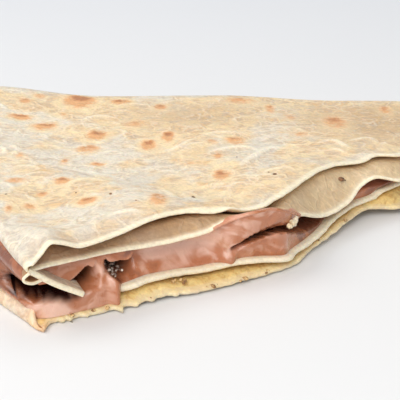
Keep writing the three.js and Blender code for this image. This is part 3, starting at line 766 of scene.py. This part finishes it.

# The outside face: cream, tanned and toasted, with painted shade in its hollows and painted
# highlights on its ridges, and browned in spots.
warm = maths(tree, "ADD", between(tree, wide, 0.42, 0.6), toasted)
tanned = times(tree, between(tree, mid, 0.43, 0.62), between(tree, warm, -0.3, 1.2))
grain = between(tree, small, 0.25, 0.62, 0.75, 1.25)
toast = times(tree, between(tree, toasted, 0.3, 1.0, 0.0, 0.7), grain)
floors = times(tree, between(tree, cells, 0.1, 0.9), between(tree, small, 0.3, 0.65))
sunk_shade = times(tree, between(tree, raised, 0.14, 0.0), between(tree, small, 0.40, 0.66))
uneven = between(tree, small, 0.25, 0.62, 0.6, 1.35)
halo, browned, charred = (
    times(tree, attribute(tree, name), uneven) for name in ("halo", "browned", "charred")
)
colour = blend(tree, between(tree, warm, 0.1, 1.1), GREY_CREAM, YELLOW_CREAM)
for amount, tint in (
    (tanned, TAN),
    (toast, TOASTED_TAN),
    (times(tree, floors, 0.6), TAN),
    (times(tree, sunk_shade, 0.6), PAINTED_SHADE),
    (times(tree, shaded, 0.55), PAINTED_SHADE),
    (times(tree, beside, 0.5), PAINTED_SHADE),
    (between(tree, raised, 0.2, 0.6, 0.0, 0.6), RIDGE_HIGHLIGHT),
    (times(tree, crease, 0.3), RIDGE_HIGHLIGHT),
    (between(tree, halo, 0.05, 0.6, 0.0, 0.75), YELLOW_CREAM),
    (between(tree, browned, 0.03, 0.5, 0.0, 0.92), ORANGE_BROWN),
    (between(tree, charred, 0.1, 0.75, 0.0, 0.85), DARK_BROWN),
):
    colour = blend(tree, amount, colour, tint)

# The inside face, with painted shade at the left where the top layer overhangs it, and the
# yellow one of the lowest layer.
inner = blend(tree, between(tree, to_right, 5 * MM, 50 * MM), INNER_SHADED_LEFT, INNER_LIT_RIGHT)
pores = times(tree, between(tree, small, 0.4, 0.6), between(tree, fine, 0.35, 0.6))
inner = blend(tree, times(tree, pores, 0.35), inner, INNER_PORES)
inner = blend(tree, between(tree, mid, 0.35, 0.7, 0.0, 0.2), inner, TAN)
yellow = blend(tree, pores, LOWEST, LOWEST_DARK)
inner = blend(tree, lowest, inner, yellow)
colour = blend(tree, inside, colour, inner)

# The painted highlight along the rim, the browned corner, fine speckles and the coat of spread
# over all of it.
rim_highlight_share = times(tree, rim, between(tree, lowest, 0.0, 1.0, 0.85, 0.35))
colour = blend(tree, rim_highlight_share, colour, RIM_HIGHLIGHT)
browning = times(tree, attribute(tree, "corner"), between(tree, small, 0.3, 0.6, 0.5, 1.1))
colour = blend(tree, browning, colour, ORANGE_BROWN)
speckle = between(tree, fine, 0.3, 0.7, 0.9, 1.06)
shade = node(tree, "CombineColor", {0: speckle, 1: speckle, 2: speckle}).outputs[0]
colour = blend(tree, 1.0, colour, shade, "MULTIPLY")
stained = maths(tree, "ADD", coated, times(tree, small, 0.6))
smeared = blend(tree, between(tree, mid, 0.35, 0.65, 0.0, 0.5), CHOCOLATE, CHOCOLATE_PALE_AND_HIGHLIT)
stain = between(tree, stained, 0.7, 0.9)
colour = blend(tree, stain, colour, smeared)
dullness = between(tree, mid, 0.3, 0.7, 0.5, 0.75)
dullness = maths(tree, "SUBTRACT", dullness, times(tree, stain, 0.3))
relief = maths(tree, "ADD", times(tree, small, 0.6), times(tree, fine, 0.3))
relief = maths(tree, "ADD", relief, times(tree, crease, 0.5))
relief = times(tree, relief, between(tree, rim, 0.0, 1.0, 1.0, 0.3))
finish_surface(tree, surface, colour, dullness, relief, 0.5, 0.6)
let_light_in(surface, 0.2, (1.0, 0.6, 0.3), 3)
crepe.data.materials.append(baked)
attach(crepe, "root")
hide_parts("crepe_sheet")


# ------------------------------ the pleat at the left tip
# A narrow pleat of the same baked sheet that hangs from the tip of the second layer across the
# pocket, and the small lip curled under the tip.
PLEAT_THICKNESS = 1.4
PLEAT_RIM = ((0, -68.5, 168.2, 16.4), (0.5, -66.3, 167.2, 11.4), (1, -63.9, 167.0, 7.2))
PLEAT_INNER = (
    (0, -68.2, 163.0, 15.6), (0.25, -67.1, 163.0, 13.6), (0.5, -65.9, 161.0, 11.0),
    (1, -63.8, 160.0, 7.6),
)
LIP_THICKNESS = 0.7
LIP_RIM = (
    (0, -68.4, 168.6, 16.0), (0.28, -68.95, 169.0, 15.0), (0.5, -68.9, 169.0, 14.1),
    (0.78, -68.2, 168.6, 13.2), (1, -67.4, 167.8, 13.3),
)
LIP_INNER = (
    (0, -68.3, 164.5, 15.8), (0.28, -68.6, 164.5, 14.9), (0.5, -68.5, 164.0, 13.9),
    (0.78, -68.0, 163.4, 13.0), (1, -67.4, 163.0, 13.1),
)


def cut_block(cuts_x, cuts_y, cuts_z):
    """A unit block from 0 to 1, cut into cells by even cuts across each direction."""
    block = bmesh.new()
    bmesh.ops.create_cube(block, size=1)
    bmesh.ops.translate(block, verts=block.verts[:], vec=(0.5, 0.5, 0.5))
    for axis, cuts in enumerate((cuts_x, cuts_y, cuts_z)):
        along = []
        for edge in block.edges:
            a, b = (v.co for v in edge.verts)
            if abs(a[axis] - b[axis]) > 0.5:
                along.append(edge)
        bmesh.ops.subdivide_edges(block, edges=along, cuts=cuts - 1)
    return block


def smooth_piece(mesh, name):
    """Makes a smooth piece of a closed mesh, with its faces outwards."""
    bmesh.ops.recalc_face_normals(mesh, faces=mesh.faces[:])
    piece = finish_object(mesh, name)
    piece.data.shade_smooth()
    return piece


def between_edges(rim, inner, x, y):
    a, b = read(rim, x), read(inner, x)
    row = a + (b - a) * y[:, None]
    return polar(row[:, 1], row[:, 2], row[:, 3])


def bent(rim, inner, thickness, x, y, z):
    """Where a place of a unit block lies in a strip between two curves, with a rounded edge."""
    here = between_edges(rim, inner, x, y)
    along = between_edges(rim, inner, x + 0.01, y) - between_edges(rim, inner, x - 0.01, y)
    inwards = between_edges(rim, inner, x, y + 0.01) - between_edges(rim, inner, x, y - 0.01)
    normal = np.cross(along, inwards)
    normal /= np.linalg.norm(normal, axis=-1, keepdims=True)
    fullness = np.sqrt(1 - 0.75 * (1 - np.clip(y / 0.12, 0, 1)) ** 2)
    return here + normal * ((z - 0.5) * thickness * fullness)[:, None]


for name, rim, inner, thickness, inner_shade_share in (
    ("pleat", PLEAT_RIM, PLEAT_INNER, PLEAT_THICKNESS, 0.3),
    ("curled_lip", LIP_RIM, LIP_INNER, LIP_THICKNESS, 1.0),
):
    strip = cut_block(60, 24, 5)
    x, y, z = np.array([v.co for v in strip.verts]).T
    # The strip's pale edge is a painted highlight; darker stripes along it and its lower end are
    # painted shade, and it takes a share of the inside colour with its painted shade.
    stripes = np.array([noise.noise(Vector((5 * a, 14 * b, 2))) for a, b in zip(x, y)])
    lower_end_shade = ease(0.9, 0.97, x) * (y > 0.2)
    mark(strip, {
        "rim": 1 - ease(0.08, 0.16, y),
        "inside": np.full(len(x), inner_shade_share),
        "shaded": 1.2 * ease(-0.15, 0.3, stripes) + 1.2 * lower_end_shade,
    })
    move_to(strip, bent(rim, inner, thickness, x, y, z))
    piece = smooth_piece(strip, name)
    piece.data.materials.append(baked)
    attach(piece, "root")
    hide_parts("crepe_sheet")


# ------------------------------ the chocolate spread
# A thick smooth chocolate spread that fills the pocket between the second and the third layer. It
# was spooned on before the folds, clings to both sheets and is drawn back between them.

# Its front: bearing, how far the upper and the lower edge lie behind their rims, depth of the
# hollow between them, and the levels, from floor to roof, where the hollow starts and ends.
SPREAD_EDGE = (
    (-76, 16, 14, 0, 0.1, 1), (-70.4, 10.5, 8.5, 0, 0.1, 1), (-69.9, 8.2, 5.6, 0, 0.3, 0.7),
    (-69.4, 6.8, 4, 0, 0.3, 0.7), (-69.0, 6, 2.8, 3, 0.2, 0.62), (-68.6, 6, 1.4, 14, 0.15, 0.58),
    (-68.1, 5.8, -1.0, 26, 0.12, 0.52), (-67.2, 5, -3.6, 34, 0.1, 0.46),
    (-66.5, 4.4, -4.9, 34, 0.07, 0.44), (-65.6, 3.8, -5.4, 26, 0.05, 0.42),
    (-65.0, 3.6, -5.6, 12, 0.03, 0.44), (-64.4, 3.4, -5.7, 5, 0.03, 0.46),
    (-63.4, 2.6, -5.9, 12, 0.05, 0.6), (-62.7, 1.8, -6.0, 13, 0.1, 0.74),
    (-62.2, 1.4, -5.9, 5, 0.1, 0.7), (-61.7, 1.2, -5.7, 0.6, 0.1, 0.9),
    (-61.0, 1.2, -4.8, 1.5, 0.3, 0.9), (-60.6, 1.4, -3.8, 7, 0.26, 0.74),
    (-60.2, 1.4, -1.6, 12, 0.16, 0.72), (-59.7, 1.4, 1.0, 14, 0.05, 0.68),
    (-59.0, 1.2, 1.4, 13, 0, 0.66), (-58.5, 1.2, 1.4, 7, 0, 0.7), (-58.0, 1.1, 1.4, 3.6, 0, 1),
    (-57.2, 1.0, 1.4, 3.2, 0, 1), (-53, 1.0, 1.4, 3.8, 0, 1), (-51.0, 1.0, 1.4, 3.2, 0, 0.9),
    (-50.1, 0.8, 0.8, 1.8, 0, 0.85), (-49.6, 0.5, -0.6, 1.2, 0.1, 0.5),
    (-49.0, 0.3, -0.7, 1.6, 0.14, 0.42), (-48.5, 0.1, 0.5, 4, 0.24, 0.42),
    (-47.9, -0.3, 1.0, 11, 0.35, 0.53), (-47.1, -0.6, 1.1, 17, 0.43, 0.61),
    (-46.2, -0.7, 1.2, 22, 0.49, 0.67), (-45.0, -0.7, 1.2, 26, 0.54, 0.74),
    (-43.5, -0.7, 1.2, 28, 0.48, 0.71), (-42.2, -0.4, 1.2, 30, 0.42, 0.7),
    (-41.2, 0.4, 1.2, 32, 0.34, 0.9), (-40, 0.8, 1.2, 30, 0.26, 0.99), (-38, 1.2, 1.3, 22, 0.18, 1),
    (-36, 1.8, 1.6, 14, 0.14, 1), (-34.3, 3, 3, 3, 0.1, 1), (-33, 4, 4, 1, 0, 1),
    (-31, 2, 2, 3, 0.1, 1), (-29, 1.4, 0.8, 4, 0.4, 1), (-26, 1.4, 0.8, 4, 0.4, 1),
    (-23, 2, 1.5, 3, 0.3, 1), (-15, 3, 3, 3, 0.1, 1), (-1, 4, 4, 2, 0.1, 1),
)
# How far the spread swells out of the left side, by level: one lump lies on another.
LEFT_SWELL = (
    (0, 1.0), (0.12, 2.8), (0.3, 4.0), (0.46, 3.2), (0.55, 1.4), (0.64, 2.2), (0.8, 3.4),
    (0.93, 2.4), (1, 0.6),
)
SPREAD_START = 30.0
SPREAD_BACK_INSET = 2.5
SPREAD_LIP = 3.0
CLING = 0.05  # the spread reaches this far into the faces it clings to
BULGE = 1.3  # it swells up this far where it hangs over the upper layer's rim


def fold_top(bearing, r):
    """Height of the lower layer's upper face, and of the side of its fold beyond the last bearing."""
    lower, bottom = (heights(bearing, r)[name] for name in ("lower", "bottom"))
    beyond = np.radians(np.maximum(0, lower_left_side(r) - bearing)) * r
    half = (lower - bottom) / 2 + HALF
    wide = FOLD_FULLNESS * (lower - bottom) / 2 + HALF
    return bottom + half - HALF + half * np.sqrt(np.maximum(0, 1 - (beyond / wide) ** 2))


def pocket(bearing, r, spill):
    """Floor and roof of the spread; where it spills, its floor is the lowest layer."""
    inside = np.maximum(bearing, LEFT_SIDE)
    here, further = heights(inside, r), heights(inside, r + 0.5)
    steep = np.hypot(1, (further["upper"] - here["upper"]) / 0.5)
    lower, bottom = fold_top(bearing, r), heights(bearing, r)["bottom"] + HALF
    floor = lower + (bottom - lower) * spill - CLING
    return floor, np.maximum(here["upper"] - (HALF - CLING) * steep, floor + 0.3)


def hollow_at(bearing, level):
    """Depth of the hollow between the sheets, its full depth, and the share of the way across."""
    edge = read(SPREAD_EDGE, bearing)
    across = np.clip((level - edge[..., 4]) / (edge[..., 5] - edge[..., 4]), 0, 1)
    full = np.maximum(0, edge[..., 3])
    return full * np.sin(np.pi * across) ** 1.3, full, across


def front_of_spread(x, y, z):
    """Bearing, level, distance from the point and lower rim at each place."""
    level = (1 - np.cos(np.pi * z)) / 2
    out = y ** 0.8
    near = SPREAD_START + (RADIUS - 4 - SPREAD_START) * out
    inset = np.degrees(SPREAD_BACK_INSET / near)
    lumpy = 1 + 0.22 * np.sin(near / 6.1 + 1) + 0.14 * np.sin(near / 2.9 + 3 * level)
    at_tip = ease(148, 162, near)
    swell = np.degrees(read(LEFT_SWELL, level)[..., 1] * lumpy * (1 - 0.7 * at_tip) / near)
    low = lower_left_side(near) + np.degrees(1.4 * at_tip / near)
    high = LEFT_SIDE + np.degrees(0.6 / near)
    left = low + (high - low) * ease(0, 1, level) - swell
    bearing = left + (back_side(near) - inset - left) * column_share(x)
    edge = read(SPREAD_EDGE, bearing)
    lower_rim = read(LOWER, bearing)[..., 1]
    lower_edge = lower_rim - edge[..., 2]
    upper_edge = read(UPPER, bearing)[..., 1] - edge[..., 1]
    front = lower_edge + (upper_edge - lower_edge) * level - hollow_at(bearing, level)[0]
    r = SPREAD_START + (front - SPREAD_LIP - SPREAD_START) * out
    return bearing, level, r + (front - r) * ease(0.86, 1.0, y), lower_rim


def poured(x, y, z):
    """Where a place of the unit block lies in the poured spread, in millimetres."""
    bearing, level, r, lower_rim = front_of_spread(x, y, z)
    spill = ease(lower_rim + 0.5, lower_rim + 1.8, r) * (1 - ease(0, 0.06, level))
    floor, roof = pocket(bearing, r, spill)
    upper_rim = read(UPPER, bearing)[..., 1]
    roof = roof + BULGE * ease(upper_rim - 0.3, upper_rim + 0.4, r)
    return polar(bearing, r, floor + (roof - floor) * level)


# Painted highlights on the spread: bearing and level, half width and height, how strong.
PAINTED_HIGHLIGHTS = (
    (-54.7, 0.42, 1.7, 0.27, 1.4), (-52.6, 0.55, 1.9, 0.36, 1.5), (-50.6, 0.6, 1.5, 0.4, 1.25),
    (-49.0, 0.78, 0.8, 0.25, 0.6), (-49.3, 0.45, 0.2, 0.4, 0.7), (-57.3, 0.22, 0.8, 0.14, 0.9),
    (-58.3, 0.6, 0.3, 0.3, 0.7), (-47.4, 0.9, 0.9, 0.12, 0.2), (-45.0, 0.93, 2.0, 0.06, 0.2),
    (-60.9, 0.35, 0.35, 0.3, 0.5), (-61.6, 0.55, 0.5, 0.2, 0.4), (-66.2, 0.03, 1.6, 0.09, 1.3),
    (-65.0, 0.1, 1.2, 0.08, 0.8), (-63.5, 0.05, 0.8, 0.06, 0.5), (-42.8, 0.2, 1.0, 0.12, 0.3),
)
# Painted shade on the spread, in the same way.
PAINTED_SHADE_PATCHES = (
    (-58.4, 0.92, 1.4, 0.22, 0.8), (-56.6, 0.96, 2.2, 0.14, 0.7), (-53.6, 0.98, 2.2, 0.08, 0.5),
    (-49.9, 0.45, 0.2, 0.35, 0.5), (-60.0, 0.1, 0.7, 0.3, 0.5), (-70.5, 0.4, 1.6, 0.6, 1.0),
    (-70.3, 0.85, 2, 0.3, 1.2), (-70.5, 0.5, 1.8, 0.1, 1), (-40.8, 0.3, 1.4, 0.4, 0.8),
    (-37.5, 0.4, 2.6, 0.7, 1.3), (-26, 0.5, 3, 1, 1.0), (-57.8, 0.15, 0.6, 0.2, 0.5),
    (-55.4, 0.2, 1.6, 0.1, 0.5),
)
TIP_ENDS = -63.6  # bearing where the deep hollow under the left tip ends
RECESSES_END = -58  # and where the two narrow recesses beside it do
# Painted shadow runs under the roof to the left of this bearing, along the gap there.
LEFT_LUMPS = -69  # to the left of this a dark gap runs under the roof


def shades_of_spread(x, y, z):
    """The painted highlight and shade at each place, and how much painted shadow of a hollow."""
    bearing, level = front_of_spread(x, y, z)[:2]
    hollow, full, across = hollow_at(bearing, level)
    light = patches(PAINTED_HIGHLIGHTS, bearing, level) - patches(PAINTED_SHADE_PATCHES, bearing, level)
    # Painted shadow: nearly black far under the tip, in the two recesses, in the mouth and along the
    # gap under the roof at the left.
    under_tip = ease(0, 0.07, across) * (1 - ease(0.9, 1, across)) * ease(1, 7, full)
    in_recess = 0.78 * ease(2, 8, hollow)
    in_mouth = ease(2.5, 7.5, hollow)
    deep = np.where(bearing < RECESSES_END, in_recess, in_mouth)
    deep = np.where(bearing < TIP_ENDS, under_tip, deep)
    gap = 0.9 * ease(0.93, 0.99, level) * (bearing < LEFT_LUMPS)
    return light, np.maximum(deep, gap)


filling = cut_block(440, 24, 40)
flat = np.array([v.co for v in filling.verts])
mark(filling, dict(zip(("light", "deep"), shades_of_spread(*flat.T))))
move_to(filling, poured(*flat.T))
spread = smooth_piece(filling, "spread")

PAINTED_HOLLOW_SHADOW = (0.035, 0.008, 0.006, 1)


def add_gloss(surface, weight, roughness):
    """A clear wet film over the surface."""
    surface.inputs["Coat Weight"].default_value = weight
    surface.inputs["Coat Roughness"].default_value = roughness


chocolate, tree, surface, where = material_named("chocolate")
light, deep = attribute(tree, "light"), attribute(tree, "deep")
stirred, small = mottle(tree, where, 11, 2, 2.2), mottle(tree, where, 3, 2, 0.6)
# The spread's own stirred tone, under painted highlights and painted shade from the light attribute.
tone = maths(tree, "ADD", light, between(tree, stirred, 0.38, 0.62, -0.25, 0.35))
colour = blend(tree, between(tree, tone, 0.0, 0.95), CHOCOLATE, CHOCOLATE_PALE_AND_HIGHLIT)
colour = blend(tree, between(tree, tone, 0.0, -0.9), colour, CHOCOLATE_DARK_AND_SHADED)
# Painted shadow: deep in a hollow the spread is painted nearly black.
colour = blend(tree, deep, colour, PAINTED_HOLLOW_SHADOW)
gloss = between(tree, small, 0.3, 0.7, 0.24, 0.38)
relief = maths(tree, "ADD", small, times(tree, stirred, 1.2))
finish_surface(tree, surface, colour, gloss, relief, 0.35, 0.8)
add_gloss(surface, 0.5, 0.15)
let_light_in(surface, 0.1, (1.0, 0.4, 0.2), 2)
spread.data.materials.append(chocolate)
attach(spread, "root")
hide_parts("chocolate_spread")


# ------------------------------ bubbles in the spread
# Small glossy bubbles of air and sugar where the spread was torn open in two narrow recesses. Each
# is a little ball that sits in the wall of its recess or just in front of it.
BUBBLES = 160
FORWARD = np.array((0.2, -1.0, 0.35))
BUBBLE_DARK = (0.16, 0.085, 0.055, 1)
BUBBLE_LIGHT = (0.75, 0.66, 0.56, 1)
# The two recesses: first and last bearing, lowest and highest level, least depth.
RECESSES = ((-60.5, -58.7, 0.1, 0.8, 3), (-63.2, -62.4, 0.3, 0.9, 5))


def small_ball(mesh, place, size, squash, chance, roughness=0.0, level=2):
    """Adds a lumpy little ball at a place in millimetres."""
    made = bmesh.ops.create_icosphere(mesh, subdivisions=level, radius=1)["verts"]
    offset = Vector(chance.uniform(0, 50, 3))
    for vert in made:
        way = vert.co.copy()
        lump = 1 + roughness * noise.noise(way * 1.4 + offset)
        vert.co = (Vector(place) + Vector((way.x, way.y, way.z * squash)) * size * lump) * MM


def two_toned(name, size, split, colours, roughness, strength, relief_size=None):
    """A material of two colours in fine clouds; split and roughness are ranges."""
    material, tree, surface, where = material_named(name)
    clouds = mottle(tree, where, size)
    relief = mottle(tree, where, relief_size) if relief_size else clouds
    colour = blend(tree, between(tree, clouds, *split), *colours)
    dullness = between(tree, clouds, 0.3, 0.7, *roughness)
    finish_surface(tree, surface, colour, dullness, relief, strength, 0.2)
    return material, surface


chance = np.random.default_rng(5)
bubbles = bmesh.new()
at_front = flat[flat[:, 1] > 0.999]
bearing, level = front_of_spread(*at_front.T)[:2]
hollow = hollow_at(bearing, level)[0]
torn = np.zeros(len(level), bool)
for first, last, low, high, least in RECESSES:
    beside = (bearing > first) & (bearing < last)
    torn |= beside & (level > low) & (level < high) & (hollow > least)
walls = poured(*at_front[torn].T)
for place in walls[chance.choice(len(walls), BUBBLES, replace=False)]:
    forward = FORWARD * chance.uniform(0, 3.5)
    small_ball(bubbles, place + forward, chance.uniform(0.2, 0.55), 1, chance)
bubble_piece = smooth_piece(bubbles, "bubbles")
sugary, surface = two_toned(
    "sugary_bubbles", 1.2, (0.45, 0.68), (BUBBLE_DARK, BUBBLE_LIGHT), (0.08, 0.2), 0.2
)
add_gloss(surface, 1.0, 0.05)
bubble_piece.data.materials.append(sugary)
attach(bubble_piece, "root")


# ------------------------------ crumbs and burnt specks
# Crumbs of baked batter stuck along the lowest rim, in the gap above it and at the end of the
# coated rim, and burnt specks on the top. Each is a small lump pressed into what it lies on.

# Crumbs: first and last bearing, how many, how far behind the lowest rim, how high above it.
CRUMBS = (
    (-52.3, -51.3, 6, -0.5, 0.4), (-49.3, -48.4, 5, -0.6, 0.4), (-46.6, -45.9, 4, -0.3, 0.4),
    (-55.2, -53.6, 10, 1.6, 1.6), (-66.4, -57, 5, -0.6, 0.6), (-45, -30, 3, -0.4, 0.8),
)
CRUMB_PALE = (0.78, 0.52, 0.24, 1)
CRUMB_DARK = (0.30, 0.15, 0.06, 1)
# The lumps of the pale crumb: bearing, distance, height, size.
PALE_LUMPS = (
    (-43.9, 172.4, 12.6, 0.8), (-43.5, 172.4, 13.0, 1.0), (-43.1, 172.2, 13.4, 0.8),
    (-42.8, 172.0, 13.9, 0.5),
)
INNER_SPECKS = ((-31.65, 165.6, 1.2), (-31.2, 166.4, 0.35))  # bearing, distance, size
BURNT = (0.09, 0.045, 0.025, 1)
SCORCHED = (0.30, 0.14, 0.06, 1)


def at_bearing(bearing, r, height):
    return polar(np.array([bearing]), np.array([r]), np.array([height]))[0]


def height_of(name, bearing, r):
    return heights(np.array([bearing]), np.array([r]))[name][0]


crumbs = bmesh.new()
for first, last, count, further_in, lift in CRUMBS:
    for bearing in chance.uniform(first, last, count):
        r = read(BOTTOM, bearing)[..., 1] - (further_in + chance.uniform(-0.6, 0.6))
        place = at_bearing(bearing, r, height_of("bottom", bearing, r) + lift)
        small_ball(crumbs, place, chance.uniform(0.2, 0.55), 0.8, chance, 0.7)
crumb_piece = smooth_piece(crumbs, "crumbs")
toasted_crumb, _ = two_toned(
    "toasted_crumb", 1.6, (0.4, 0.6), (CRUMB_PALE, CRUMB_DARK), (0.6, 0.8), 0.5, 0.3
)
crumb_piece.data.materials.append(toasted_crumb)
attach(crumb_piece, "root")

pale_crumb = bmesh.new()
for bearing, r, height, size in PALE_LUMPS:
    small_ball(pale_crumb, at_bearing(bearing, r, height), size, 0.8, chance, 0.6, 3)
pale_piece = smooth_piece(pale_crumb, "pale_crumb")
pale_piece.data.materials.append(baked)
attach(pale_piece, "root")

specks = bmesh.new()
for x, y, size in SPECKS:
    gap = np.hypot(top_surface[:, 0] - x, top_surface[:, 1] - y)
    small_ball(specks, top_surface[gap.argmin()], size * 0.8, 0.5, chance, 0.5)
for bearing, r, size in INNER_SPECKS:
    place = at_bearing(bearing, r, height_of("upper", bearing, r) + HALF)
    small_ball(specks, place, size, 0.4, chance, 0.5)
speck_piece = smooth_piece(specks, "burnt_specks")
burnt, _ = two_toned("burnt", 0.8, (0.35, 0.65), (BURNT, SCORCHED), (0.5, 0.8), 0.4)
speck_piece.data.materials.append(burnt)
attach(speck_piece, "root")
